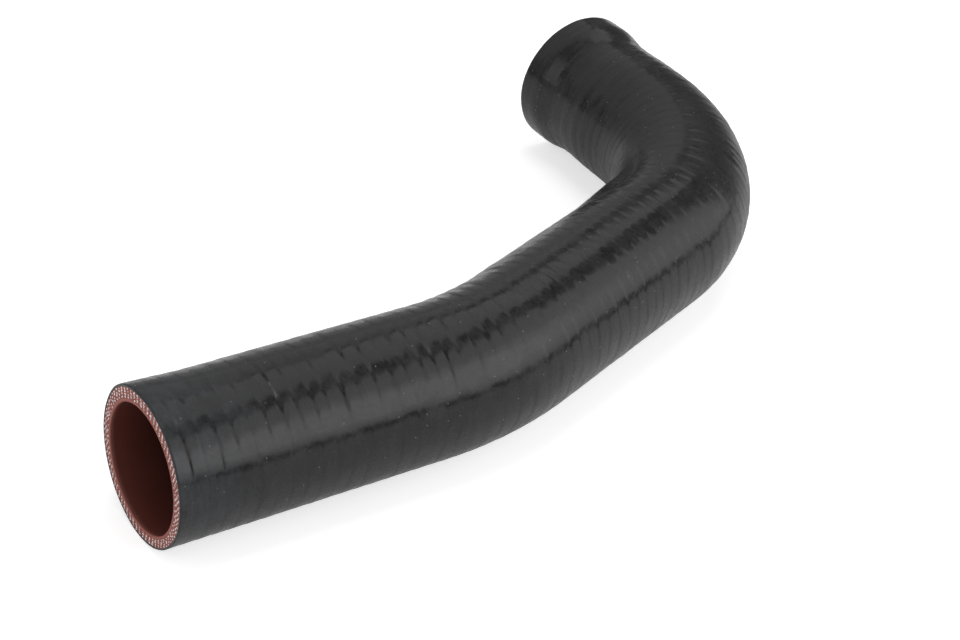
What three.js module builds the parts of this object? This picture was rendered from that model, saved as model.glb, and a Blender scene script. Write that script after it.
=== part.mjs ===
// Preformed rubber hose for an engine's air intake. It is moulded in one piece,
// with a gentle bend, a sharper one, a wider cuff and two square-cut ends.
import * as THREE from "three";

// Driving dimensions, in millimetres and degrees
const BORE = 40;
const WALL = 4.6;
const FRONT_LEG = 97;
const FRONT_BEND_RADIUS = 118;
const FRONT_BEND_ANGLE = 20;
const MIDDLE_LEG = 81;
const REAR_BEND_RADIUS = 71;
const TOTAL_TURN = 90;
const REAR_LEG = 41.5;

// The cuff at the rear end is wider than the hose, and its wall is as thick
const CUFF_LENGTH = 7;
const CUFF_RISE = 1.1;
const CUFF_TAPER = 11;

// The skin narrows a little before the cuff
const NECK_BEFORE_CUFF = 13;
const NECK_REACH = 14;
const NECK_DEPTH = 0.4;

// The tape that holds the hose while it cures leaves a shallow step at each turn
const BAND_PITCH = 5.2;
const BAND_STEP = 0.12;
const BAND_EDGE = 1.2;

// Bending gathers the skin into close rings: inside the gentle bend, outside
// the sharper one, and all round before the cuff
const INNER_FOLD_REACH = 33;
const INNER_FOLD_PITCH = 6.4;
const INNER_FOLD_DEPTH = 0.7;
const OUTER_FOLD_REACH = 27;
const OUTER_FOLD_PITCH = 3.8;
const OUTER_FOLD_DEPTH = 0.35;
const CUFF_FOLD_BEFORE = 24;
const CUFF_FOLD_REACH = 22;
const CUFF_FOLD_PITCH = 5.2;
const CUFF_FOLD_DEPTH = 0.15;

// A crease slants along the inside of the sharper bend, over a swelling
const CREASE_PLACE = 13;
const CREASE_REACH = 38;
const CREASE_DEPTH = 1;
const CREASE_ANGLE = 42;
const CREASE_SLANT = -0.3;
const CREASE_SPREAD = 16;
const SWELL_PLACE = 5;
const SWELL_REACH = 30;
const SWELL_RISE = 2.2;
const SWELL_ANGLE = 20;
const SWELL_SPREAD = 34;

// Corners of the round section, and the spacing of the bore's rings in a bend
const SECTION_SIDES = 32;
const BORE_RING_PITCH = 10;

// Sizes that follow from the driving dimensions
const RADIUS = BORE / 2 + WALL;
const REAR_BEND_ANGLE = TOTAL_TURN - FRONT_BEND_ANGLE;
const FRONT_ARC = FRONT_BEND_RADIUS * THREE.MathUtils.degToRad(FRONT_BEND_ANGLE);
const REAR_ARC = REAR_BEND_RADIUS * THREE.MathUtils.degToRad(REAR_BEND_ANGLE);
const REAR_ARC_START = FRONT_LEG + FRONT_ARC + MIDDLE_LEG;
const REAR_ARC_END = REAR_ARC_START + REAR_ARC;
const LENGTH = REAR_ARC_END + REAR_LEG;
const CUFF_START = LENGTH - CUFF_LENGTH;

// The centreline's pieces in order. A straight one has no radius.
const ROUTE = [
  { length: FRONT_LEG },
  { length: FRONT_ARC, radius: FRONT_BEND_RADIUS },
  { length: MIDDLE_LEG },
  { length: REAR_ARC, radius: REAR_BEND_RADIUS },
  { length: REAR_LEG },
];

// Sides of the section, as angles round it: the inside of the bends is zero
const INSIDE = 0;
const OUTSIDE = Math.PI;

// The stretches of gathered rings. One with no side goes all the way round.
const FOLDS = [
  {
    middle: FRONT_LEG + 0.6 * FRONT_ARC,
    reach: INNER_FOLD_REACH,
    pitch: INNER_FOLD_PITCH,
    depth: INNER_FOLD_DEPTH,
    side: INSIDE,
  },
  {
    middle: REAR_ARC_START + 0.5 * REAR_ARC,
    reach: OUTER_FOLD_REACH,
    pitch: OUTER_FOLD_PITCH,
    depth: OUTER_FOLD_DEPTH,
    side: OUTSIDE,
  },
  {
    middle: CUFF_START - CUFF_FOLD_BEFORE,
    reach: CUFF_FOLD_REACH,
    pitch: CUFF_FOLD_PITCH,
    depth: CUFF_FOLD_DEPTH,
  },
];

const smooth = (t) => THREE.MathUtils.smoothstep(t, 0, 1);

// One at the middle of a bump and zero from its reach outwards
function bump(distance, reach) {
  const t = Math.min(Math.abs(distance) / reach, 1);
  return 1 - smooth(t);
}

// How much of the section's skin faces one side, from zero to one
function facing(angle, side) {
  return side === undefined ? 1 : Math.max(Math.cos(angle - side), 0) ** 2;
}

// The centreline's point and heading at a distance along it
function centreAt(distance) {
  let left = distance;
  let x = 0;
  let y = 0;
  let heading = 0;
  for (const { length, radius } of ROUTE) {
    const run = Math.min(left, length);
    const turn = radius ? run / radius : 0;
    const chord = radius ? 2 * radius * Math.sin(turn / 2) : run;
    x += chord * Math.cos(heading + turn / 2);
    y += chord * Math.sin(heading + turn / 2);
    heading += turn;
    left -= run;
  }
  // The cuff rests on the floor too, so the rear bend climbs by its rise
  const climb = CUFF_RISE * smooth((distance - REAR_ARC_START) / REAR_ARC);
  return { x, y, z: RADIUS + climb, heading };
}

// The wider cuff, which the skin and the bore share
function cuffRise(distance) {
  return CUFF_RISE * smooth((distance - CUFF_START + CUFF_TAPER) / CUFF_TAPER);
}

// The step down from one turn of the tape to the next
function bandMark(distance) {
  const ends = Math.min(distance, CUFF_START - CUFF_TAPER - distance) / BAND_PITCH;
  const along = (distance / BAND_PITCH) % 1;
  const rise = BAND_EDGE / BAND_PITCH;
  const saw = along < rise ? along / rise : (1 - along) / (1 - rise);
  return BAND_STEP * (1 - saw) * smooth(ends);
}

// The depth of the gathered rings below the skin
function foldMark(distance, angle) {
  let depth = 0;
  for (const fold of FOLDS) {
    const from = distance - fold.middle;
    const wave = (1 - Math.cos((2 * Math.PI * from) / fold.pitch)) / 2;
    depth += fold.depth * wave * bump(from, fold.reach) * facing(angle, fold.side);
  }
  return depth;
}

// One at a place on the section, given in degrees, and zero past its spread
function patch(angle, place, spread) {
  const from = angle - THREE.MathUtils.degToRad(place);
  const near = Math.atan2(Math.sin(from), Math.cos(from));
  return bump(near, THREE.MathUtils.degToRad(spread));
}

// The depth of the slanting crease, less the height of the swelling
function creaseMark(distance, angle) {
  const fromCrease = distance - REAR_ARC_START - CREASE_PLACE;
  const place = CREASE_ANGLE + CREASE_SLANT * fromCrease;
  const crease = bump(fromCrease, CREASE_REACH) * patch(angle, place, CREASE_SPREAD);
  const fromSwell = distance - REAR_ARC_START - SWELL_PLACE;
  const swell = bump(fromSwell, SWELL_REACH) * patch(angle, SWELL_ANGLE, SWELL_SPREAD);
  return CREASE_DEPTH * crease - SWELL_RISE * swell;
}

function neckMark(distance) {
  return NECK_DEPTH * bump(distance - CUFF_START + NECK_BEFORE_CUFF, NECK_REACH);
}

function skinRadius(distance, angle) {
  const rings = bandMark(distance) + foldMark(distance, angle) + neckMark(distance);
  return RADIUS + cuffRise(distance) - rings - creaseMark(distance, angle);
}

function boreRadius(distance) {
  return BORE / 2 + cuffRise(distance);
}

// Distances where the skin needs a ring: each band's step and each fold's crest and valley
function skinStations() {
  const wanted = [CUFF_START - CUFF_TAPER, CUFF_START - CUFF_TAPER / 2, CUFF_START];
  for (const { middle, reach, pitch } of FOLDS) {
    const waves = Math.floor((2 * reach) / pitch);
    for (let i = -waves; i <= waves; i++) wanted.push(middle + (i * pitch) / 2);
  }
  for (let s = BAND_PITCH; s < CUFF_START - CUFF_TAPER; s += BAND_PITCH) {
    wanted.push(s, s + BAND_EDGE);
  }
  return spread(wanted, BAND_EDGE * 0.9);
}

function boreStations() {
  const wanted = [CUFF_START - CUFF_TAPER, CUFF_START - CUFF_TAPER / 2, CUFF_START];
  let start = 0;
  for (const { length, radius } of ROUTE) {
    const rings = radius ? Math.round(length / BORE_RING_PITCH) : 1;
    for (let i = 1; i <= rings; i++) wanted.push(start + (length * i) / rings);
    start += length;
  }
  return spread(wanted, BORE_RING_PITCH / 3);
}

// The two ends and the wanted distances between them, none closer than the gap
function spread(wanted, gap) {
  const kept = [0];
  for (const s of wanted.sort((a, b) => a - b)) {
    if (s > kept.at(-1) + gap && s < LENGTH - gap) kept.push(s);
  }
  return [...kept, LENGTH];
}

// One ring of points round the centreline
function ring(distance, radiusAt) {
  const { x, y, z, heading } = centreAt(distance);
  const points = [];
  for (let i = 0; i < SECTION_SIDES; i++) {
    const angle = (2 * Math.PI * i) / SECTION_SIDES;
    const radius = radiusAt(distance, angle);
    const across = radius * Math.cos(angle);
    points.push([
      x - across * Math.sin(heading),
      y + across * Math.cos(heading),
      z + radius * Math.sin(angle),
    ]);
  }
  return points;
}

// The closed surface: along the skin, over the rear cut, back through the bore,
// and over the front cut. Each stretch has a material of its own.
function hoseGeometry() {
  const skin = skinStations().map((s) => ring(s, skinRadius));
  const bore = boreStations().map((s) => ring(s, boreRadius));
  const rings = [...skin, ...bore.reverse()];
  const positions = rings.flat(2);
  const index = [];
  const groups = [];
  rings.forEach((_, r) => {
    const next = (r + 1) % rings.length;
    for (let i = 0; i < SECTION_SIDES; i++) {
      const j = (i + 1) % SECTION_SIDES;
      const [a, b] = [r * SECTION_SIDES + i, r * SECTION_SIDES + j];
      const [c, d] = [next * SECTION_SIDES + i, next * SECTION_SIDES + j];
      index.push(a, b, d, a, d, c);
    }
    const cut = r === skin.length - 1 || r === rings.length - 1;
    groups.push(cut ? 1 : r < skin.length ? 0 : 2);
  });
  const geometry = new THREE.BufferGeometry();
  geometry.setAttribute("position", new THREE.Float32BufferAttribute(positions, 3));
  geometry.setIndex(index);
  const perRing = SECTION_SIDES * 6;
  groups.forEach((material, r) => geometry.addGroup(r * perRing, perRing, material));
  geometry.computeVertexNormals();
  return geometry;
}

// Satin black cover, the brick-red wall that the cuts show, and the darker bore
const cover = new THREE.MeshStandardMaterial({
  color: 0x2b2b2c,
  roughness: 0.5,
  metalness: 0,
});
const wall = new THREE.MeshStandardMaterial({
  color: 0xa8554a,
  roughness: 0.8,
  metalness: 0,
});
const lining = new THREE.MeshStandardMaterial({
  color: 0x6b2a20,
  roughness: 0.65,
  metalness: 0,
});

const hose = new THREE.Mesh(hoseGeometry(), [cover, wall, lining]);
hose.name = "hose";

// The frame's origin is under the middle of the hose, on the floor that it lies on
hose.geometry.computeBoundingBox();
const middle = hose.geometry.boundingBox.getCenter(new THREE.Vector3());
hose.position.set(-middle.x, -middle.y, -hose.geometry.boundingBox.min.z);

const root = new THREE.Group();
root.add(hose);

export default root;
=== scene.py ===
# %% [markdown]
# # A preformed rubber intake hose
# The real hose is built up on a steel former: a red lining, a red wall with plies of white
# yarn, and a black cover. Tape is wound tightly round it, it is cured in an oven, and the
# tape is pulled off, which leaves shallow steps all along the skin. The frame holds the
# hose's plain solid. This lesson dresses it with a skin that shows those marks up close.

import math

import bpy
import numpy as np
from mathutils import Matrix, Vector


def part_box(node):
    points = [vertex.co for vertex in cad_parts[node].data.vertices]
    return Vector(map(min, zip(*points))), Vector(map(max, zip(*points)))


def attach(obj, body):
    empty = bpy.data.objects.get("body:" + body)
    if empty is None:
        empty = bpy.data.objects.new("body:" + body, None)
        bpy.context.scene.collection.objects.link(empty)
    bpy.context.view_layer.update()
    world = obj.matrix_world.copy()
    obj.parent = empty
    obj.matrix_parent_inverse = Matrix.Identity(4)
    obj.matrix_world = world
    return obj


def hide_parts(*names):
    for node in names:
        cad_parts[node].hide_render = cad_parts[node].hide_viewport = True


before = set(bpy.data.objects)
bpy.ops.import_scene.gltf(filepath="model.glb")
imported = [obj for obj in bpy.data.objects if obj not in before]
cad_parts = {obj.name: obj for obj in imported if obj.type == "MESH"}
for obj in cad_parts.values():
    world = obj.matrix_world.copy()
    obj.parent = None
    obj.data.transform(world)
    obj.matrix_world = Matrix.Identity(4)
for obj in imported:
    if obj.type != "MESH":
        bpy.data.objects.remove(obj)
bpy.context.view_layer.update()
low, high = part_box("hose")
print("the solid hose is", [round(v * 1000, 1) for v in high - low], "mm")

# %% [markdown]
# ## The camera
# It comes first, because everything else is judged through it. The picture was taken from
# above the front mouth with a long lens, and it was turned a little for the page, so the
# camera is rolled by the same amount.

# %% Place the camera
MM = 0.001
SENSOR_WIDTH = 36.0
PICTURE_WIDTH = 960
FOCAL_PIXELS = 2364.5
AZIMUTH = math.radians(-38.35)
ELEVATION = math.radians(33.46)
ROLL = math.radians(7.46)
AIM = Vector((13.44, -8.34, 0.0)) * MM
DISTANCE = 806.7 * MM


def turned_camera(aim, azimuth, elevation, roll, distance):
    """A camera's matrix from where it aims and how it is turned."""
    back = Vector(
        (
            math.sin(azimuth) * math.cos(elevation),
            -math.cos(azimuth) * math.cos(elevation),
            math.sin(elevation),
        )
    )
    level = Vector((math.cos(azimuth), math.sin(azimuth), 0.0))
    upright = back.cross(level)
    right = level * math.cos(roll) + upright * math.sin(roll)
    up = upright * math.cos(roll) - level * math.sin(roll)
    turned = Matrix((right, up, back)).transposed().to_4x4()
    turned.translation = aim + back * distance
    return turned


camera_data = bpy.data.cameras.new("camera")
camera_data.sensor_width = SENSOR_WIDTH
camera_data.lens = FOCAL_PIXELS * SENSOR_WIDTH / PICTURE_WIDTH
camera_data.clip_start = 0.01
camera = bpy.data.objects.new("camera", camera_data)
bpy.context.scene.collection.objects.link(camera)
camera.matrix_world = turned_camera(AIM, AZIMUTH, ELEVATION, ROLL, DISTANCE)
bpy.context.scene.camera = camera
print("lens", round(camera_data.lens, 1), "mm, camera at", camera.matrix_world.translation)

# %% [markdown]
# ## The hose's sizes
# A few sizes drive the whole hose. The legs, bends and cuff are the same as the solid's,
# so the printed length is the solid's too.

# %% Name the driving sizes, in metres and radians
BORE = 40 * MM
WALL = 4.6 * MM
FRONT_LEG = 97 * MM
FRONT_BEND_RADIUS, FRONT_BEND_ANGLE = 118 * MM, math.radians(20)
MIDDLE_LEG = 81 * MM
REAR_BEND_RADIUS, REAR_BEND_ANGLE = 71 * MM, math.radians(70)
REAR_LEG = 41.5 * MM
CUFF_LENGTH = 7 * MM
CUFF_RISE = 1.1 * MM
CUFF_TAPER = 11 * MM

RADIUS = BORE / 2 + WALL
FRONT_ARC = FRONT_BEND_RADIUS * FRONT_BEND_ANGLE
REAR_ARC = REAR_BEND_RADIUS * REAR_BEND_ANGLE
REAR_ARC_START = FRONT_LEG + FRONT_ARC + MIDDLE_LEG
LENGTH = REAR_ARC_START + REAR_ARC + REAR_LEG
CUFF_START = LENGTH - CUFF_LENGTH
TAPER_START = CUFF_START - CUFF_TAPER
FRONT_MOUTH = Vector((low.x, low.y + RADIUS, low.z + RADIUS))
print("the hose is", round(LENGTH / MM, 1), "mm long along its middle")

# %% [markdown]
# ## The route
# Everything on this hose follows one line through its middle. It is a curve that the
# Geometry Nodes further down read, so each layer is first made straight, like a hose
# before it is pushed over its former, and then bent. The rear bend climbs a little,
# because the wider cuff rests on the floor too.

# %% Draw the route as a curve
ROUTE_STEP = 1 * MM
# each piece of the route in order, as its length and its radius, with none for a straight leg
ROUTE = [
    (FRONT_LEG, None),
    (FRONT_ARC, FRONT_BEND_RADIUS),
    (MIDDLE_LEG, None),
    (REAR_ARC, REAR_BEND_RADIUS),
    (REAR_LEG, None),
]


def smooth(t):
    t = min(max(t, 0.0), 1.0)
    return t * t * (3 - 2 * t)


def route_point(distance):
    """The middle line's point at a distance from the front mouth."""
    x = y = heading = 0.0
    left = distance
    for length, radius in ROUTE:
        run = min(left, length)
        turn = run / radius if radius else 0.0
        chord = 2 * radius * math.sin(turn / 2) if radius else run
        x += chord * math.cos(heading + turn / 2)
        y += chord * math.sin(heading + turn / 2)
        heading += turn
        left -= run
    climb = CUFF_RISE * smooth((distance - REAR_ARC_START) / REAR_ARC)
    return FRONT_MOUTH + Vector((x, y, climb))


steps = round(LENGTH / ROUTE_STEP)
route_data = bpy.data.curves.new("route", "CURVE")
route_data.dimensions = "3D"
spline = route_data.splines.new("POLY")
spline.points.add(steps)
for i, point in enumerate(spline.points):
    point.co = (*route_point(LENGTH * i / steps), 1.0)
route = bpy.data.objects.new("route", route_data)
bpy.context.scene.collection.objects.link(route)
print("the route has", len(spline.points), "points and ends at", spline.points[-1].co.xyz)

# %% [markdown]
# ## Node maths as plain Python
# Both the shaders and the Geometry Nodes below need a lot of arithmetic. A small class
# wraps a node's socket, so that `1 - mask` or `depth * wave` adds the Math node by itself
# and the formulas can be read as formulas. A second one adds any other node in one line.

# %% Wrap a socket
class Field:
    """A socket that can be added, multiplied and divided like a number."""

    def __init__(self, tree, socket):
        self.tree = tree
        self.socket = socket

    def math(self, operation, *others):
        node = self.tree.nodes.new("ShaderNodeMath")
        node.operation = operation
        for value, socket in zip((self, *others), node.inputs):
            plug(self.tree, value, socket)
        return Field(self.tree, node.outputs[0])

    def __add__(self, other):
        return self.math("ADD", other)

    def __radd__(self, other):
        return self.math("ADD", other)

    def __sub__(self, other):
        return self.math("SUBTRACT", other)

    def __rsub__(self, other):
        return (self * -1.0).math("ADD", other)

    def __mul__(self, other):
        return self.math("MULTIPLY", other)

    def __rmul__(self, other):
        return self.math("MULTIPLY", other)

    def __truediv__(self, other):
        return self.math("DIVIDE", other)

    def __pow__(self, other):
        return self.math("POWER", other)

    def clipped(self, least=0.0, most=1.0):
        return self.math("MAXIMUM", least).math("MINIMUM", most)

    def smoothed(self):
        t = self.clipped()
        return t * t * (3.0 - 2.0 * t)


def plug(tree, value, socket):
    """Links a field or a socket to a socket, or sets a plain value on it."""
    if isinstance(value, Field):
        value = value.socket
    if isinstance(value, bpy.types.NodeSocket):
        tree.links.new(value, socket)
    else:
        socket.default_value = value


print("formulas can now be written as Python")


# %% Add any other node in one line
class Tree:
    """Adds nodes to a shader or Geometry Nodes tree."""

    def __init__(self, tree):
        self.tree = tree

    def node(self, kind, settings=None, *values, **inputs):
        """A node of that kind, its settings, and its inputs in their order or by name."""
        made = self.tree.nodes.new(kind)
        for name, value in (settings or {}).items():
            setattr(made, name, value)
        for value, socket in zip(values, made.inputs):
            plug(self.tree, value, socket)
        for name, value in inputs.items():
            wanted = name.replace("_", " ").lower()
            found = [s for s in made.inputs if s.enabled and s.name.lower() == wanted]
            plug(self.tree, value, found[0])
        return made

    def field(self, kind, settings=None, *values, **inputs):
        """The first output in use of such a node."""
        made = self.node(kind, settings, *values, **inputs)
        return Field(self.tree, next(s for s in made.outputs if s.enabled))

    def vector(self, operation, *values, **inputs):
        return self.field("ShaderNodeVectorMath", {"operation": operation}, *values, **inputs)

    def scaled(self, vector, factor):
        return self.vector("SCALE", vector, Scale=factor)

    def parts(self, vector):
        split = self.node("ShaderNodeSeparateXYZ", Vector=vector)
        return [Field(self.tree, s) for s in split.outputs]

    def joined(self, x=0.0, y=0.0, z=0.0):
        return self.field("ShaderNodeCombineXYZ", X=x, Y=y, Z=z)


print("nodes can now be added by their names")

# %% [markdown]
# ## The marks that follow a rule
# Each mark on the skin is a depth that depends only on how far along the hose a point is
# and which side it faces, from zero on the inside of the bends, over a quarter turn on top,
# to a half turn on the outside. The tape leaves a step at each of its turns. Bending
# gathers the skin into close rings, inside the gentle bend, outside the sharper one and
# before the cuff. A crease slants over a swelling inside the sharper bend.

# %% Name those marks' sizes
INSIDE, OUTSIDE = 0.0, math.pi
BAND_PITCH = 5.2 * MM
BAND_STEP = 0.06 * MM
BAND_EDGE = 1.2 * MM
# two waves along the hose make the turns wander, each by its share of a turn
SLOW_WAVE, FAST_WAVE = 17 * MM, 7.3 * MM
SLOW_WANDER, FAST_WANDER = 0.17, 0.12
FOLDS = [
    dict(
        middle=FRONT_LEG + 0.6 * FRONT_ARC,
        reach=33 * MM,
        pitch=6.4 * MM,
        depth=0.7 * MM,
        side=INSIDE,
    ),
    dict(
        middle=REAR_ARC_START + 0.5 * REAR_ARC,
        reach=27 * MM,
        pitch=3.8 * MM,
        depth=0.24 * MM,
        side=OUTSIDE,
    ),
    dict(
        middle=CUFF_START - 24 * MM,
        reach=22 * MM,
        pitch=5.2 * MM,
        depth=0.12 * MM,
        side=None,
    ),
]
NECK = dict(middle=CUFF_START - 13 * MM, reach=14 * MM, depth=0.4 * MM)
CREASE = dict(middle=REAR_ARC_START + 13 * MM, reach=38 * MM, depth=1.7 * MM)
CREASE_ANGLE, CREASE_SPREAD = math.radians(42), math.radians(13)
# the crease turns by this angle for each metre along the hose
CREASE_SLANT = math.radians(-300)
SWELL = dict(middle=REAR_ARC_START + 5 * MM, reach=30 * MM, depth=-2.2 * MM)
SWELL_ANGLE, SWELL_SPREAD = math.radians(20), math.radians(34)
print(len(FOLDS), "stretches of gathered skin, one neck, one crease and one swelling")


# %% Write what the marks are made of
def bump(value, middle, reach):
    """One at the middle of a stretch and zero past its reach."""
    return 1.0 - ((value - middle).math("ABSOLUTE") / reach).smoothed()


def above(pattern, level, gain, least=0.0, most=1.0):
    """How far a pattern stands above a level, times a gain and clipped."""
    return ((pattern - level) * gain).clipped(least, most)


def facing(angle, side):
    """How squarely the skin faces a side, from zero to one."""
    return (angle - side).math("COSINE").clipped() ** 2.0


def stretch_mark(distance, mark):
    """A mark that goes all the way round, at its place along the hose."""
    return bump(distance, mark["middle"], mark["reach"]) * mark["depth"]


def band_place(distance, unit=1.0, shift=0.0):
    """Which turn of the tape a point is under, and how far across it. The turns wander."""
    slow = (distance * (1 / (SLOW_WAVE * unit))).math("SINE") * SLOW_WANDER
    fast = (distance * (1 / (FAST_WAVE * unit))).math("SINE") * FAST_WANDER
    turns = distance / (BAND_PITCH * unit) + (slow + fast) + shift
    across = turns.math("FRACT")
    return turns - across, across


def band_slope(across):
    """One at a turn's edge, zero where its short rise ends, and one again at the next."""
    rise = BAND_EDGE / BAND_PITCH
    return 1.0 - (across / rise).math("MINIMUM", (1.0 - across) / (1.0 - rise))


print("a turn of the tape shows", round(BAND_PITCH / MM, 1), "mm of its width")


# %% Write those marks as formulas
def band_mark(distance):
    """The shallow step at each turn of the tape, up to where the cuff widens."""
    _, across = band_place(distance)
    ends = distance.math("MINIMUM", TAPER_START - distance) / BAND_PITCH
    return BAND_STEP * band_slope(across) * ends.smoothed()


def fold_mark(distance, angle):
    depth = 0.0
    for fold in FOLDS:
        turns = (distance - fold["middle"]) * (2 * math.pi / fold["pitch"])
        wave = (1.0 - turns.math("COSINE")) * 0.5 * stretch_mark(distance, fold)
        if fold["side"] is not None:
            wave = wave * facing(angle, fold["side"])
        depth = wave + depth
    return depth


def crease_mark(distance, angle):
    """The slanting crease, less the height of the swelling."""
    place = CREASE_ANGLE + (distance - CREASE["middle"]) * CREASE_SLANT
    crease = stretch_mark(distance, CREASE) * bump(angle, place, CREASE_SPREAD)
    return crease + stretch_mark(distance, SWELL) * bump(angle, SWELL_ANGLE, SWELL_SPREAD)


print("the crease is", round(CREASE["depth"] / MM, 2), "mm deep")

# %% [markdown]
# ## The uneven marks
# A hand guides the tape, so no turn of it is like the next. Each presses by its own amount,
# leaves the skin a little crowned, and tilts it in places, most of all along the top. Noise
# with a seed, which changes from turn to turn, gives all three. The soft front mouth is
# also slightly out of round, and a few waves and a bulge round it give that shape.

# %% Press the turns of tape unevenly
PRESS_DEPTH = 0.34 * MM
CROWN_DEPTH = 0.06 * MM
TILT_DEPTH = 0.16 * MM
TOP_ANGLE, TOP_SPREAD = math.radians(108), math.radians(30)
TOP_MIDDLE, TOP_REACH = 80 * MM, 150 * MM
TOP_SHARE, MOUTH_SHARE, LEAST_SHARE = 1.1, 0.12, 0.1
MOUTH_SHARE_REACH = 80 * MM
# how far each noise moves on from one turn of tape to the next, and round the hose
PRESS_MOVE, CROWN_MOVE, TILT_MOVE = 3.7, 5.1, 2.3
ROUND_MOVE = 1.6
TILT_START = 9.0


def press_mark(t, distance, angle, seed):
    """Each turn of tape pressed the skin by its own uneven amount and left it rounded."""
    turn, across = band_place(distance)
    step = turn + (across * (BAND_PITCH / BAND_EDGE)).smoothed()
    sides = (angle.math("COSINE") * ROUND_MOVE, angle.math("SINE") * ROUND_MOVE)

    def uneven(along, scale, detail):
        vector = t.joined(along, *sides)
        return t.field("ShaderNodeTexNoise", Vector=vector, Scale=scale, Detail=detail)

    press = uneven(step * PRESS_MOVE + seed, scale=1.3, detail=2.0)
    tight = uneven(step * CROWN_MOVE - seed, scale=0.9, detail=1.0)
    crown = ((across * (2 * math.pi)).math("COSINE") + 1.0) * 0.5
    crown = crown * above(tight, level=0.35, gain=4.0, most=1.6)
    lean = uneven(step * TILT_MOVE + TILT_START, scale=1.1, detail=1.0)
    tilt = band_slope(across) * above(lean, level=0.42, gain=5.0, least=-0.3, most=1.2)
    on_top = bump(angle, TOP_ANGLE, TOP_SPREAD) * bump(distance, TOP_MIDDLE, TOP_REACH)
    share = on_top * TOP_SHARE + bump(distance, 0.0, MOUTH_SHARE_REACH) * MOUTH_SHARE
    share = share + LEAST_SHARE
    return press * PRESS_DEPTH + (crown * CROWN_DEPTH + tilt * TILT_DEPTH) * share


print("the tape's uneven marks go down to", round(PRESS_DEPTH / MM, 2), "mm")

# %% Shape the soft mouth
MOUTH_REACH = 24 * MM
MOUTH_OVAL_SKIN, MOUTH_OVAL_BORE = 0.45 * MM, 0.35 * MM
MOUTH_OVAL_SKIN_TURN, MOUTH_OVAL_BORE_TURN = math.radians(140), math.radians(150)
MOUTH_SHRINK_SKIN, MOUTH_SHRINK_BORE = 0.34 * MM, 0.1 * MM
MOUTH_BULGE, MOUTH_SAG = 0.75 * MM, 0.3 * MM
MOUTH_BULGE_ANGLE, MOUTH_BULGE_SPREAD = math.radians(55), math.radians(34)


def mouth_shape(distance, angle, radius):
    """How far the soft front mouth is out of round, for the skin and for the bore."""
    skin = (angle * 2.0 - MOUTH_OVAL_SKIN_TURN).math("COSINE") * MOUTH_OVAL_SKIN
    bulge = bump(angle, MOUTH_BULGE_ANGLE, MOUTH_BULGE_SPREAD) * MOUTH_BULGE
    skin = skin - MOUTH_SHRINK_SKIN + bulge
    bore = (angle * 2.0 - MOUTH_OVAL_BORE_TURN).math("COSINE") * MOUTH_OVAL_BORE
    bore = bore - MOUTH_SHRINK_BORE - angle.math("SINE") * MOUTH_SAG
    outward = ((radius - BORE / 2) / WALL).clipped()
    return (bore + (skin - bore) * outward) * bump(distance, 0.0, MOUTH_REACH)


print("the front mouth bulges by", round(MOUTH_BULGE / MM, 2), "mm on one side")

# %% [markdown]
# ## Bending by Geometry Nodes
# One node tree sinks the straight skin by the depths above and then bends the piece along
# the route. It bends the other layers too, with the marks switched off where the tape
# never touched them. It also keeps each point's place on the straight hose, because the
# materials draw their patterns by it.

# %% Start and end a node tree
def new_tree(name, **inputs):
    """A Geometry Nodes tree and its inputs: a geometry, and those named, by their kinds."""
    tree = bpy.data.node_groups.new(name, "GeometryNodeTree")
    for label, kind in {"Geometry": "Geometry", **inputs}.items():
        tree.interface.new_socket(label, in_out="INPUT", socket_type=f"NodeSocket{kind}")
    tree.interface.new_socket("Geometry", in_out="OUTPUT", socket_type="NodeSocketGeometry")
    return Tree(tree), tree.nodes.new("NodeGroupInput").outputs


def end_tree(t, geometry, material):
    """Makes what the tree placed real, paints it and hands it out."""
    whole = t.node("GeometryNodeRealizeInstances", Geometry=geometry)
    painted = t.node("GeometryNodeSetMaterial", Geometry=whole.outputs[0], Material=material)
    t.node("NodeGroupOutput", Geometry=painted.outputs[0])
    return t.tree


print("a tree's last two steps are Realize Instances and Set Material")


# %% Build the tree that marks and bends a straight layer
def marked_radius(t, given, distance, angle, radius):
    """A point's distance from the middle line, once it is marked."""
    marks = band_mark(distance) + fold_mark(distance, angle) + crease_mark(distance, angle)
    marks = marks + stretch_mark(distance, NECK)
    marks = marks + press_mark(t, distance, angle, Field(t.tree, given["Seed"]))
    settings = {"data_type": "FLOAT"}
    skin = t.field("GeometryNodeInputNamedAttribute", settings, Name="skin")
    cuff = ((distance - TAPER_START) / CUFF_TAPER).smoothed() * CUFF_RISE
    sunk = radius + cuff - marks * skin * Field(t.tree, given["Marks"])
    return sunk + mouth_shape(distance, angle, radius)


def bending_tree():
    kinds = dict(Route="Object", Marks="Float", Seed="Float", Finish="Material")
    t, given = new_tree("bend_along_route", **kinds)
    straight = t.field("GeometryNodeInputPosition")
    distance, across, height = t.parts(straight)
    angle = height.math("ARCTAN2", across)
    radius = (across * across + height * height).math("SQRT")
    sunk = marked_radius(t, given, distance, angle, radius)

    line = t.node("GeometryNodeObjectInfo", Object=given["Route"]).outputs["Geometry"]
    settings = {"mode": "LENGTH"}
    sample = t.node("GeometryNodeSampleCurve", settings, Curves=line, Length=distance)
    flat = t.vector("MULTIPLY", sample.outputs["Tangent"], (1.0, 1.0, 0.0))
    left = t.vector("NORMALIZE", t.vector("CROSS_PRODUCT", (0.0, 0.0, 1.0), flat))
    sideways = t.scaled(left, sunk * angle.math("COSINE"))
    place = t.vector("ADD", sample.outputs["Position"], sideways)
    place = t.vector("ADD", place, t.joined(z=sunk * angle.math("SINE")))

    kept = t.node(
        "GeometryNodeStoreNamedAttribute",
        {"data_type": "FLOAT_VECTOR", "domain": "POINT"},
        Geometry=given["Geometry"],
        Name="unbent",
        Value=straight,
    )
    moved = t.node("GeometryNodeSetPosition", Geometry=kept.outputs[0], Position=place)
    return end_tree(t, moved.outputs[0], given["Finish"])


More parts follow.
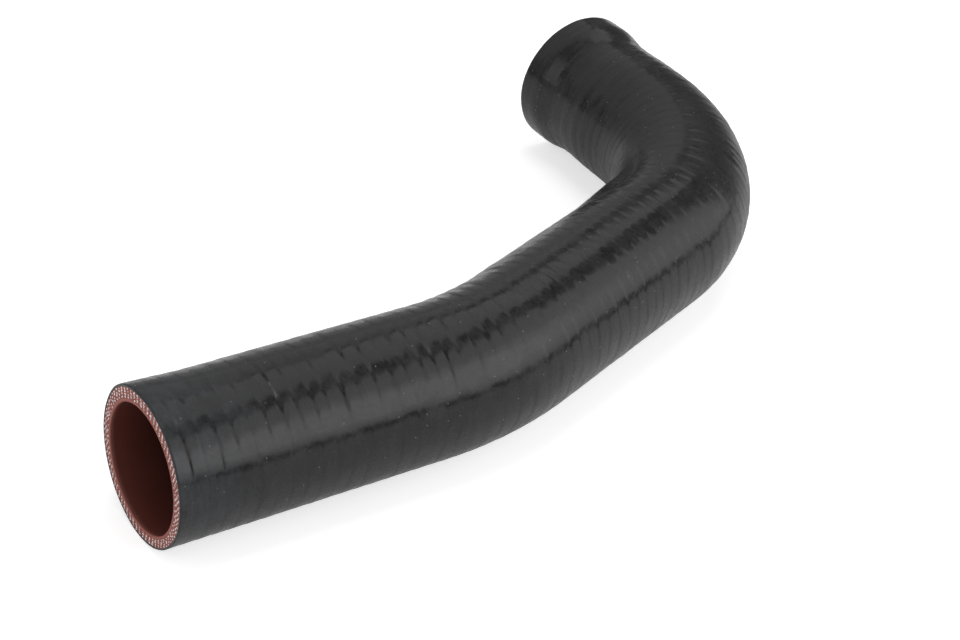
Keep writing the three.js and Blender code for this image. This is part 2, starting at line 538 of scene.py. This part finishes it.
bend_nodes = bending_tree()
print("the bending tree has", len(bend_nodes.nodes), "nodes")


# %% Run a tree on a piece
def new_piece(name, mesh):
    piece = bpy.data.objects.new(name, mesh)
    bpy.context.scene.collection.objects.link(piece)
    return piece


def socket_id(tree, name):
    found = [s for s in tree.interface.items_tree if s.name == name and s.in_out == "INPUT"]
    return found[0].identifier


def run_tree(piece, tree, **inputs):
    """Runs a node tree on a piece and keeps the result as its plain mesh."""
    modifier = piece.modifiers.new("nodes", "NODES")
    modifier.node_group = tree
    for name, value in inputs.items():
        modifier[socket_id(tree, name)] = value
    bpy.context.view_layer.update()
    seen = piece.evaluated_get(bpy.context.evaluated_depsgraph_get())
    made = bpy.data.meshes.new_from_object(seen)
    made.name = piece.name
    piece.modifiers.remove(modifier)
    piece.data = made


print("the bending tree's inputs are", [s.name for s in bend_nodes.interface.items_tree])

# %% [markdown]
# ## Straight layers
# A layer is a closed pipe: an outer surface, an inner surface and two cut rings. It is
# made straight, as one grid of rings that goes out along the outside and comes back
# through the inside. Only the visible skin needs rings close together. The layers end a
# hair inside the solid's cuts, so that the yarn ends that stand on them stay in its box.

# %% Make a straight layer as a mesh
SIDES = 128
SKIN_STEP = 0.55 * MM
HIDDEN_STEP = 3 * MM
CUT_IN = 0.12 * MM


def rows(step):
    return np.linspace(CUT_IN, LENGTH - CUT_IN, round(LENGTH / step) + 1)


def ring_faces(rings):
    """Four-sided faces between rings of points, where the last ring joins the first."""
    ring, side = np.meshgrid(np.arange(rings), np.arange(SIDES), indexing="ij")
    here, after = ring * SIDES, (ring + 1) % rings * SIDES
    beside = (side + 1) % SIDES
    corners = [here + side, here + beside, after + beside, after + side]
    return np.stack(corners, axis=-1).reshape(-1, 4)


def straight_layer(name, outer, inner, outer_step, inner_step, marked=()):
    """A closed straight pipe between two radii; the marks reach the radii named in marked."""
    there, back = rows(outer_step), rows(inner_step)[::-1]
    along = np.concatenate([there, back])
    radius = np.concatenate([np.full(len(there), outer), np.full(len(back), inner)])
    angle = np.arange(SIDES) * (2 * math.pi / SIDES)
    x = np.repeat(along, SIDES)
    y = np.outer(radius, np.cos(angle)).ravel()
    z = np.outer(radius, np.sin(angle)).ravel()
    faces = ring_faces(len(along))
    mesh = bpy.data.meshes.new(name)
    mesh.from_pydata(np.stack([x, y, z], axis=1).tolist(), [], faces.tolist())
    skin = mesh.attributes.new("skin", "FLOAT", "POINT")
    skin.data.foreach_set("value", np.repeat(np.isin(radius, marked), SIDES).astype(np.float32))
    mesh.polygons.foreach_set("use_smooth", np.ones(len(faces), dtype=bool))
    return mesh


print("a skin has", SIDES, "sides and", len(rows(SKIN_STEP)), "rings")

# %% [markdown]
# ## Patterns on rubber
# All the materials are patterns of noise. They read the `unbent` attribute, the place that
# a point had on the straight hose, so they follow the bends and have no seam. Noise that
# is fine along the hose and long around it gives streaks that run round, as tape leaves
# them. Noise that is as coarse every way gives grain.

# %% Start a material and read a point's place on the straight hose
def new_material(name):
    made = bpy.data.materials.new(name)
    made.use_nodes = True
    made.node_tree.nodes.clear()
    return made, Tree(made.node_tree)


class StraightPlace:
    """A point's place on the straight hose, in millimetres, and noise that follows it."""

    def __init__(self, t):
        self.t = t
        stored = t.node("ShaderNodeAttribute", {"attribute_name": "unbent"})
        self.place = t.scaled(stored.outputs["Vector"], 1 / MM)
        self.distance, self.across, self.height = t.parts(self.place)
        self.angle = self.height.math("ARCTAN2", self.across)

    def noise(self, vector, scale, detail, roughness):
        wanted = dict(Vector=vector, Scale=scale, Detail=detail, Roughness=roughness)
        return self.t.field("ShaderNodeTexNoise", {"noise_dimensions": "3D"}, **wanted)

    def streaks(self, along, around, detail=2.0, roughness=0.5):
        """Noise with a scale of its own along the hose, and another round it."""
        vector = self.t.joined(along, self.across * around, self.height * around)
        return self.noise(vector, 1.0, detail, roughness)

    def grain(self, scale, detail=2.0, roughness=0.5):
        """Noise that is as coarse in every direction."""
        return self.noise(self.place, scale, detail, roughness)


print("patterns read the place on the straight hose")


# %% Mix patterns and colours, and end a material
def swung(level, *swings):
    """A level that patterns swing up and down about their middle value, each by its amount."""
    for pattern, amount in swings:
        level = (pattern - 0.5) * amount + level
    return level


def mixed(t, factor, first, second):
    """A colour between two."""
    settings = {"data_type": "RGBA"}
    return t.field("ShaderNodeMix", settings, Factor=factor, A=first, B=second)


def bumped(t, strength, relief):
    """A normal from a relief in millimetres."""
    return t.field("ShaderNodeBump", Strength=strength, Distance=MM, Height=relief)


def surface(t, **inputs):
    return t.field("ShaderNodeBsdfPrincipled", **inputs)


def end_material(t, shader):
    t.node("ShaderNodeOutputMaterial", Surface=shader)


print("colours are mixed by Mix nodes, and reliefs by Bump nodes")

# %% [markdown]
# ## Wear on the cover
# The grooves between the turns of tape come and go, and are deepest near the mouth and on
# top. Short cracks have opened in some of them round the gentle bend, and light scratches
# run beside a few on top. These are thin lines round the hose, switched on and off by noise
# that changes from turn to turn. Specks of dust lie all over. A cell pattern scatters them,
# with a dot in the middle of some of its cells.

# %% Draw grooves, cracks and scratches as lines round the hose
# where the lines run, as a share of the way across a turn of tape
GROOVE_PLACE, SCRATCH_PLACE = 0.5, 0.42
# how far each line's noise moves on from one turn of tape to the next
GROOVE_MOVE, CRACK_MOVE, SCRATCH_MOVE = 3.1, 7.7, 9.1
# how much of a groove shows on top, near the mouth, at its lip and anywhere else
GROOVE_TOP, GROOVE_MOUTH, GROOVE_LIP, GROOVE_LEAST = 0.8, 0.3, 0.35, 0.05


def line_at(across_turn, place, sharpness):
    """One on a line round the hose, falling to zero beside it."""
    return 1.0 - (across_turn - place).math("ABSOLUTE") * sharpness


def towards(hose, angle, spread):
    """One on a side of the hose, given in degrees, and zero past its spread."""
    return bump(hose.angle, math.radians(angle), math.radians(spread))


def groove_wear(hose, turn, across_turn):
    line = line_at(across_turn, GROOVE_PLACE, sharpness=5.0).smoothed()
    pattern = hose.streaks(turn * GROOVE_MOVE, around=0.09)
    line = line * above(pattern, level=0.4, gain=5.0, most=1.3)
    top = towards(hose, angle=110, spread=28) * bump(hose.distance, middle=70.0, reach=170.0)
    mouth = bump(hose.distance, middle=0.0, reach=80.0) * GROOVE_MOUTH
    lip = bump(hose.distance, middle=7.0, reach=13.0) * GROOVE_LIP
    return line * (top * GROOVE_TOP + mouth + lip + GROOVE_LEAST)


def crack_wear(hose, turn, across_turn):
    line = line_at(across_turn, GROOVE_PLACE, sharpness=34.0).clipped()
    pattern = hose.streaks(turn * CRACK_MOVE, around=0.5, detail=3.0, roughness=0.7)
    line = line * above(pattern, level=0.54, gain=14.0)
    bend = bump(hose.distance, middle=140.0, reach=75.0)
    return line * bend * towards(hose, angle=138, spread=36)


def scratch_wear(hose, turn, across_turn):
    line = line_at(across_turn, SCRATCH_PLACE, sharpness=40.0).clipped()
    pattern = hose.streaks(turn * SCRATCH_MOVE, around=0.3, detail=1.0)
    return line * above(pattern, level=0.56, gain=12.0) * towards(hose, angle=112, spread=26)


print("a groove runs at", GROOVE_PLACE, "and a scratch at", SCRATCH_PLACE, "of a turn's width")

# %% Scatter dust
DUST_SCALE = 0.42
DUST_REACH, DUST_SHARPNESS = 0.085, 40.0
CLEAN_SHARE = 0.62


def dust(hose):
    wanted = dict(Vector=hose.place, Scale=DUST_SCALE, Randomness=1.0)
    cells = hose.t.node("ShaderNodeTexVoronoi", {"feature": "F1"}, **wanted)
    near = Field(hose.t.tree, cells.outputs["Distance"])
    dot = ((DUST_REACH - near) * DUST_SHARPNESS).clipped()
    chosen = hose.t.parts(cells.outputs["Color"])[0]
    return dot * above(chosen, CLEAN_SHARE, gain=50.0)


print("a share of", CLEAN_SHARE, "of the dust's cells stays clean")

# %% [markdown]
# ## Black cover
# The cover is satin silicone rubber. Up close it has fine hair lines that run round the
# hose, left by the weave of the tape, and each turn of tape left its own patch of slightly
# different gloss. Such rubber shines in two ways at once, sharply and widely, so the
# material mixes two glosses by a pattern. Near the front mouth, hands have rubbed it until
# it is hazy and a little blue.

# %% Mix the cover's material
DARK_RUBBER = (0.0045, 0.0046, 0.0049, 1.0)
PALE_RUBBER = (0.0155, 0.0154, 0.0159, 1.0)
RUBBED_HAZE = (0.03, 0.034, 0.041, 1.0)
CRACK_COLOUR = (0.003, 0.003, 0.003, 1.0)
SCRATCH_COLOUR = (0.12, 0.12, 0.12, 1.0)
DUST_COLOUR = (0.3, 0.3, 0.3, 1.0)
# how much of each of those four colours shows where it is strongest
HAZE_TINT, CRACK_TINT, SCRATCH_TINT, DUST_TINT = 0.5, 0.8, 0.06, 0.7
GLOSS_ROUGHNESS, SATIN_ROUGHNESS = 0.14, 0.42
SATIN_SHARE, LEAST_SATIN, MOST_SATIN, REAR_SATIN = 0.38, 0.08, 0.92, 0.45
# how far the noise of the tape's patches moves on from one turn to the next
PATCH_MOVE = 5.3
# what stands out of the skin and what is cut into it, in millimetres
HAIR_HEIGHT, RIB_HEIGHT = 0.006, 0.014
GRAIN_HEIGHT, MOTTLE_HEIGHT = 0.005, 0.009
CRACK_DEPTH, GROOVE_DEPTH = 0.04, 0.042


def cover_material():
    made, t = new_material("black_cover")
    hose = StraightPlace(t)
    turn, across_turn = band_place(hose.distance, 1 / MM, shift=0.5)
    hair = hose.streaks(hose.distance * 2.4, around=0.07, detail=3.0, roughness=0.65)
    ribs = hose.streaks(hose.distance * 0.5, around=0.05)
    patch = hose.streaks(turn * PATCH_MOVE, around=0.16, detail=3.0, roughness=0.6)
    smudge = hose.streaks(hose.distance * 0.16, around=0.1, detail=4.0, roughness=0.65)
    mottle = hose.grain(0.75, detail=3.0, roughness=0.6)
    grain = hose.grain(3.2, detail=4.0, roughness=0.7)
    groove = groove_wear(hose, turn, across_turn)
    crack = crack_wear(hose, turn, across_turn)
    scratch = scratch_wear(hose, turn, across_turn)

    tone = swung(0.5, (patch, 0.35), (smudge, 0.9), (grain, 0.5), (hair, 0.35))
    colour = mixed(t, tone.clipped(), DARK_RUBBER, PALE_RUBBER)
    haze = bump(hose.distance, middle=4.0, reach=40.0) * above(smudge, level=0.36, gain=3.2)
    colour = mixed(t, haze * HAZE_TINT, colour, RUBBED_HAZE)
    colour = mixed(t, crack * CRACK_TINT, colour, CRACK_COLOUR)
    colour = mixed(t, scratch * SCRATCH_TINT, colour, SCRATCH_COLOUR)
    colour = mixed(t, dust(hose) * DUST_TINT, colour, DUST_COLOUR)

    relief = hair * HAIR_HEIGHT + ribs * RIB_HEIGHT + grain * GRAIN_HEIGHT
    relief = relief + mottle * MOTTLE_HEIGHT - crack * CRACK_DEPTH - groove * GROOVE_DEPTH
    skin = dict(Base_Color=colour, Normal=bumped(t, 1.0, relief))
    gloss = surface(t, Roughness=GLOSS_ROUGHNESS, IOR=1.42, **skin)
    satin = surface(t, Roughness=SATIN_ROUGHNESS, IOR=1.46, **skin)
    swings = ((smudge, 1.8), (patch, 0.9), (grain, 1.1), (hair, 0.4), (mottle, 1.2))
    rear = bump(hose.distance, middle=270.0, reach=75.0) * REAR_SATIN
    dull = (swung(SATIN_SHARE, *swings) + rear).clipped(LEAST_SATIN, MOST_SATIN)
    end_material(t, t.field("ShaderNodeMixShader", None, dull, gloss, satin))
    return made


cover_finish = cover_material()
print("the cover's material has", len(cover_finish.node_tree.nodes), "nodes")

# %% Make the cover
COVER = 0.65 * MM
TAPE_SEED = 4.0

cover_radii = (RADIUS, RADIUS - COVER)
cover_mesh = straight_layer("black_cover", *cover_radii, SKIN_STEP, HIDDEN_STEP, cover_radii)
cover = new_piece("black_cover", cover_mesh)
run_tree(cover, bend_nodes, Route=route, Marks=1.0, Seed=TAPE_SEED, Finish=cover_finish)
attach(cover, "root")
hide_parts("hose")
print("the cover has", len(cover.data.polygons), "faces")

# %% [markdown]
# ## Red wall
# The wall shows only where the hose is cut. It is matt brick-red rubber, a little torn by
# the knife, so its colour and its relief are clouded and grainy. It is a pipe between the
# cover and the lining, and its outside follows the cover's marks.

# %% Mix the wall's material and make the wall
LINING = 0.9 * MM
WALL_DARK = (0.22, 0.056, 0.043, 1.0)
WALL_PALE = (0.43, 0.145, 0.12, 1.0)
# how deep the knife tore the wall, in millimetres
TORN_CLOUD, TORN_GRAIN = 0.1, 0.12


def wall_material():
    made, t = new_material("red_wall")
    hose = StraightPlace(t)
    cloud = hose.grain(0.9, detail=3.0, roughness=0.6)
    grain = hose.grain(4.5, detail=3.0, roughness=0.7)
    tone = swung(0.5, (cloud, 0.9), (grain, 0.9)).clipped()
    colour = mixed(t, tone, WALL_DARK, WALL_PALE)
    normal = bumped(t, 0.8, cloud * TORN_CLOUD + grain * TORN_GRAIN)
    end_material(t, surface(t, Base_Color=colour, Roughness=0.75, Normal=normal, IOR=1.42))
    return made


wall_radii = (RADIUS - COVER, BORE / 2 + LINING)
wall_mesh = straight_layer("red_wall", *wall_radii, HIDDEN_STEP, HIDDEN_STEP, wall_radii[:1])
wall = new_piece("red_wall", wall_mesh)
wall_finish = wall_material()
run_tree(wall, bend_nodes, Route=route, Marks=1.0, Seed=TAPE_SEED, Finish=wall_finish)
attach(wall, "root")
print("the wall has", len(wall.data.polygons), "faces")

# %% [markdown]
# ## Lining
# The lining is the plain ring next to the bore, without yarn. Inside, it is smooth, with a dull
# gloss and a faint grain; its colour there is painted darker as painted shade, and that painted
# shade deepens away from the mouths. One material does both: it takes the bore's colours half
# a millimetre in from the ends.

# %% Mix the lining's material and make the lining
CUT_DARK, CUT_PALE = (0.36, 0.1, 0.075, 1.0), (0.5, 0.16, 0.125, 1.0)
# the bore's colours are the lining's red painted darker, as painted shade inside the tube
SHADED_BORE_DARK, SHADED_BORE_PALE = (0.105, 0.022, 0.0145, 1.0), (0.15, 0.036, 0.024, 1.0)
# the colour of the painted shade deep inside the bore
BORE_DEEP_SHADE = (0.012, 0.0035, 0.0026, 1.0)
CUT_REACH = 0.5
# how far the painted shade reaches in from the mouths, in millimetres
SHADE_REACH, SHADE_LEAD = 36.0, 4.0


def lining_material():
    made, t = new_material("red_lining")
    hose = StraightPlace(t)
    cloud = hose.streaks(hose.distance * 0.12, around=0.2, detail=3.0)
    grain = hose.grain(3.0, detail=3.0, roughness=0.7)
    tone = swung(0.5, (cloud, 0.8), (grain, 0.6)).clipped()
    left = LENGTH / MM - hose.distance
    inside = (hose.distance / CUT_REACH).clipped() * (left / CUT_REACH).clipped()
    # painted shade that grows away from both mouths
    deep_shade = ((hose.distance + SHADE_LEAD) / SHADE_REACH).smoothed() * (left / SHADE_REACH).smoothed()
    bore = mixed(t, deep_shade, mixed(t, tone, SHADED_BORE_DARK, SHADED_BORE_PALE), BORE_DEEP_SHADE)
    colour = mixed(t, inside, mixed(t, tone, CUT_DARK, CUT_PALE), bore)
    normal = bumped(t, 0.6, grain * 0.05 + cloud * 0.05)
    end_material(t, surface(t, Base_Color=colour, Roughness=0.55, Normal=normal, IOR=1.42))
    return made


lining_radii = (BORE / 2 + LINING, BORE / 2)
lining_mesh = straight_layer("red_lining", *lining_radii, HIDDEN_STEP, HIDDEN_STEP / 2)
lining = new_piece("red_lining", lining_mesh)
lining_finish = lining_material()
run_tree(lining, bend_nodes, Route=route, Marks=0.0, Seed=0.0, Finish=lining_finish)
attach(lining, "root")
print("the lining has", len(lining.data.polygons), "faces")

# %% [markdown]
# ## Yarn ends
# The plies are cloth, wound round the hose, so each cut shows rings of white yarn ends.
# They repeat hundreds of times, which is work for Geometry Nodes: a low rounded tuft on
# each point of the rings, shifted and turned by chance, and the same bending tree
# afterwards to carry them to the real cuts. Some tufts are drawn out along their ring,
# where the knife met the yarn at a slant.

# %% Build the tree that sets a tuft on each point
# a tuft's height and its least and greatest size, as shares of the size that is asked for
TUFT_HEIGHT, TUFT_LEAST, TUFT_MOST = 0.36, 0.7, 1.1
# how far a tuft may turn, in radians, and how much further it may shift round than outwards
TUFT_TURN, SHIFT_ROUND = 0.7, 1.6
# a drawn-out tuft grows thinner and longer by these shares, and few are drawn out far
DRAWN_THIN, DRAWN_LONG, DRAWN_POWER = 0.3, 1.2, 3.0


def yarn_tree():
    kinds = dict(Seed="Int", Tuft="Float", Jitter="Float", Finish="Material")
    t, given = new_tree("yarn_ends", **kinds)
    seed, size, jitter = (Field(t.tree, given[n]) for n in ("Seed", "Tuft", "Jitter"))

    def chance(least, most, offset):
        inputs = dict(Min=least, Max=most, Seed=seed + offset)
        return t.field("FunctionNodeRandomValue", {"data_type": "FLOAT"}, **inputs)

    _, across, height = t.parts(t.field("GeometryNodeInputPosition"))
    angle = height.math("ARCTAN2", across)
    sine, cosine = angle.math("SINE"), angle.math("COSINE")
    aside = chance(-1.0, 1.0, 1.0) * jitter * SHIFT_ROUND
    around = t.scaled(t.joined(0.0, sine * -1.0, cosine), aside)
    outward = t.scaled(t.joined(0.0, cosine, sine), chance(-1.0, 1.0, 2.0) * jitter)
    shift = t.vector("ADD", around, outward)
    points = t.node("GeometryNodeSetPosition", Geometry=given["Geometry"], Offset=shift)

    tuft = t.node("GeometryNodeMeshUVSphere", Segments=8, Rings=4, Radius=1.0)
    turn = t.joined(x=angle + chance(-TUFT_TURN, TUFT_TURN, 3.0))
    drawn = chance(0.0, 1.0, 4.0) ** DRAWN_POWER
    grow = size * chance(TUFT_LEAST, TUFT_MOST, 5.0)
    wide, long = grow * (1.0 - drawn * DRAWN_THIN), grow * (1.0 + drawn * DRAWN_LONG)
    set_out = t.node(
        "GeometryNodeInstanceOnPoints",
        Points=points.outputs[0],
        Instance=tuft.outputs[0],
        Rotation=turn,
        Scale=t.joined(grow * TUFT_HEIGHT, wide, long),
    )
    return end_tree(t, set_out.outputs[0], given["Finish"])


yarn_nodes = yarn_tree()
print("the yarn tree has", len(yarn_nodes.nodes), "nodes")

# %% Mix the yarn's material
YARN_SHADE, YARN_WHITE = (0.8, 0.74, 0.72, 1.0), (1.0, 0.98, 0.96, 1.0)


def yarn_material():
    made, t = new_material("white_yarn")
    tone = swung(0.5, (StraightPlace(t).grain(2.1), 2.2)).clipped()
    colour = mixed(t, tone, YARN_SHADE, YARN_WHITE)
    end_material(t, surface(t, Base_Color=colour, Roughness=0.8, IOR=1.45))
    return made


yarn_finish = yarn_material()
print("the yarn's material has", len(yarn_finish.node_tree.nodes), "nodes")

# %% Make the yarn ends
YARN_RINGS = 4
YARN_SPACING = 2.0 * MM
YARN_RADIUS = 0.34 * MM
YARN_SUNK = 0.02 * MM
YARN_JITTER = 0.14 * MM
YARN_MARGIN = 0.2 * MM
YARN_SEED = 7


def ring_points():
    """Evenly spaced points of every yarn ring, on both cuts of the straight hose."""
    inner, outer = BORE / 2 + LINING, RADIUS - COVER - YARN_MARGIN
    pitch = (outer - inner) / YARN_RINGS
    sunk = CUT_IN + YARN_SUNK
    points = []
    for place in (sunk, LENGTH - sunk):
        for ring in range(YARN_RINGS):
            radius = inner + (ring + 0.5) * pitch
            count = round(2 * math.pi * radius / YARN_SPACING)
            for i in range(count):
                angle = (i + 0.5 * (ring % 2)) * 2 * math.pi / count
                points.append((place, radius * math.cos(angle), radius * math.sin(angle)))
    return points


yarn_mesh = bpy.data.meshes.new("yarn_ends")
yarn_mesh.from_pydata(ring_points(), [], [])
yarn = new_piece("yarn_ends", yarn_mesh)
yarn_inputs = dict(Seed=YARN_SEED, Tuft=YARN_RADIUS, Jitter=YARN_JITTER, Finish=yarn_finish)
run_tree(yarn, yarn_nodes, **yarn_inputs)
run_tree(yarn, bend_nodes, Route=route, Marks=0.0, Seed=0.0, Finish=yarn_finish)
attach(yarn, "root")
print("the yarn ends have", len(yarn.data.polygons), "faces")

# %% [markdown]
# ## Floor
# The floor is a plain, pale disc that ends inside the ring of lamps. Seen by the camera it
# is lifted to white, and a gloss sees some of that white too. It keeps the hose's shadow.

# %% Lay the floor
FLOOR_RADIUS = 1.35
FLOOR_SIDES = 64
FLOOR_GREY = (0.72, 0.72, 0.72, 1.0)
WHITE = (1.0, 1.0, 1.0, 1.0)
CAMERA_LIFT = 0.62
GLOSS_LIFT = 0.16


def floor_material():
    made, t = new_material("floor")
    path = t.node("ShaderNodeLightPath")
    seen = Field(t.tree, path.outputs["Is Camera Ray"])
    mirrored = Field(t.tree, path.outputs["Is Glossy Ray"])
    matt = t.node("ShaderNodeBsdfDiffuse", Color=FLOOR_GREY).outputs[0]
    lift = seen * CAMERA_LIFT + mirrored * GLOSS_LIFT
    glow = t.node("ShaderNodeEmission", Color=WHITE, Strength=lift).outputs[0]
    end_material(t, t.field("ShaderNodeAddShader", None, matt, glow))
    return made


turns = [2 * math.pi * i / FLOOR_SIDES for i in range(FLOOR_SIDES)]
edge = [(FLOOR_RADIUS * math.cos(a), FLOOR_RADIUS * math.sin(a), low.z) for a in turns]
floor_mesh = bpy.data.meshes.new("floor")
floor_mesh.from_pydata(edge, [], [range(FLOOR_SIDES)])
floor_mesh.materials.append(floor_material())
floor = new_piece("floor", floor_mesh)
print("the floor is", 2 * FLOOR_RADIUS, "m across")

# %% [markdown]
# ## Lamps
# Black rubber shows little but what it mirrors, so the lamps draw the picture. Upright
# sheets of light stand round the hose, each given by the angles under which the hose sees
# its edges. The main one stands on the camera's right and draws the bright band along the
# hose, and three ovals over it give that band a brighter middle and soft edges. Three more
# stand behind, one fills in from the camera's side and one from its left, and a long lamp
# and a small bright one hang overhead.

# %% Write the lamps as flat sheets
LAMP_DISTANCE = 1.4
OVERHEAD = Vector((0, 0, 1.2 + RADIUS))
UP = Vector((0, 0, 1))


def hang_lamp(name, out, centre, width, height, brightness, shape="RECTANGLE", turn=0):
    """A flat lamp of a given brightness at a place, with its back to the direction out."""
    data = bpy.data.lights.new(name, "AREA")
    data.shape = shape
    data.size, data.size_y = width, height
    area = width * height * (math.pi / 4 if shape == "ELLIPSE" else 1)
    data.energy = brightness * math.pi * area
    lamp = bpy.data.objects.new(name, data)
    aim = out.to_track_quat("Z", "Y").to_matrix().to_4x4()
    lamp.matrix_world = aim @ Matrix.Rotation(math.radians(turn), 4, "Z")
    lamp.location = centre
    bpy.context.scene.collection.objects.link(lamp)


def upright_lamp(name, azimuth, left, right, bottom, top, brightness, shape="RECTANGLE"):
    """An upright lamp across a direction, with its edges as angles seen from the hose."""
    a = math.radians(azimuth)
    out = Vector((math.cos(a), math.sin(a), 0))
    side = Vector((-math.sin(a), math.cos(a), 0))
    edges = (right, left, bottom, top)
    y0, y1, z0, z1 = (LAMP_DISTANCE * math.tan(math.radians(v)) for v in edges)
    centre = out * LAMP_DISTANCE + side * (y0 + y1) / 2 + UP * (RADIUS + (z0 + z1) / 2)
    hang_lamp(name, out, centre, y1 - y0, z1 - z0, brightness, shape)


print("the lamps stand", LAMP_DISTANCE, "m away")

# %% Hang the lamps
# each lamp's name, its direction and its left, right, bottom and top edges in degrees, its
# brightness, and its shape where that isn't a rectangle
UPRIGHT_LAMPS = [
    ("side_sheet", -47, 47, -40, 6, 57.5, 1.2),
    ("side_glow_wide", -47, 38, -40, 4, 50, 0.42, "ELLIPSE"),
    ("side_glow", -47, 31, -40, 7, 43, 0.56, "ELLIPSE"),
    ("side_glow_middle", -50, 22, -34, 13, 38, 0.75, "ELLIPSE"),
    ("back_sheet", 80, 50, -29, 24, 62, 0.5),
    ("back_glow", 80, 55, -29, 8, 58, 0.26),
    ("back_low", 85, 40, -40, 0, 9, 0.3),
    ("camera_fill", -135, 35, -35, 5, 50, 0.8),
    ("left_fill", 170, 22, -25, 8, 50, 1.15),
]
for lamp in UPRIGHT_LAMPS:
    upright_lamp(*lamp)
top = OVERHEAD + Vector((0.715, 0.451, 0))
hang_lamp("top_lamp", UP, top, width=1.92, height=0.61, brightness=0.95, turn=39)
top = OVERHEAD + Vector((-0.05, 0, 0))
hang_lamp("overhead_fill", UP, top, width=0.5, height=0.5, brightness=4.5)
print(len(bpy.data.lights), "lamps")

# %% [markdown]
# ## Surround
# A dim surround fills what no lamp reaches. The camera sees it as plain white, so the
# floor's edge doesn't show.

# %% Set the surround
SURROUND_LIGHT = 0.14

world = bpy.data.worlds.new("world")
bpy.context.scene.world = world
world.use_nodes = True
world.node_tree.nodes.clear()
t = Tree(world.node_tree)
seen = Field(t.tree, t.node("ShaderNodeLightPath").outputs["Is Camera Ray"])
strength = SURROUND_LIGHT + seen * (1 - SURROUND_LIGHT)
sky = t.node("ShaderNodeBackground", Color=WHITE, Strength=strength)
t.node("ShaderNodeOutputWorld", Surface=sky.outputs[0])
bpy.context.scene.view_settings.view_transform = "Standard"
print("the surround lights the hose at", SURROUND_LIGHT)

# %% [markdown]
# ## Finish
# The route was only a guide, so it goes. The visual hose must stay in the solid's box.


bpy.data.objects.remove(route)
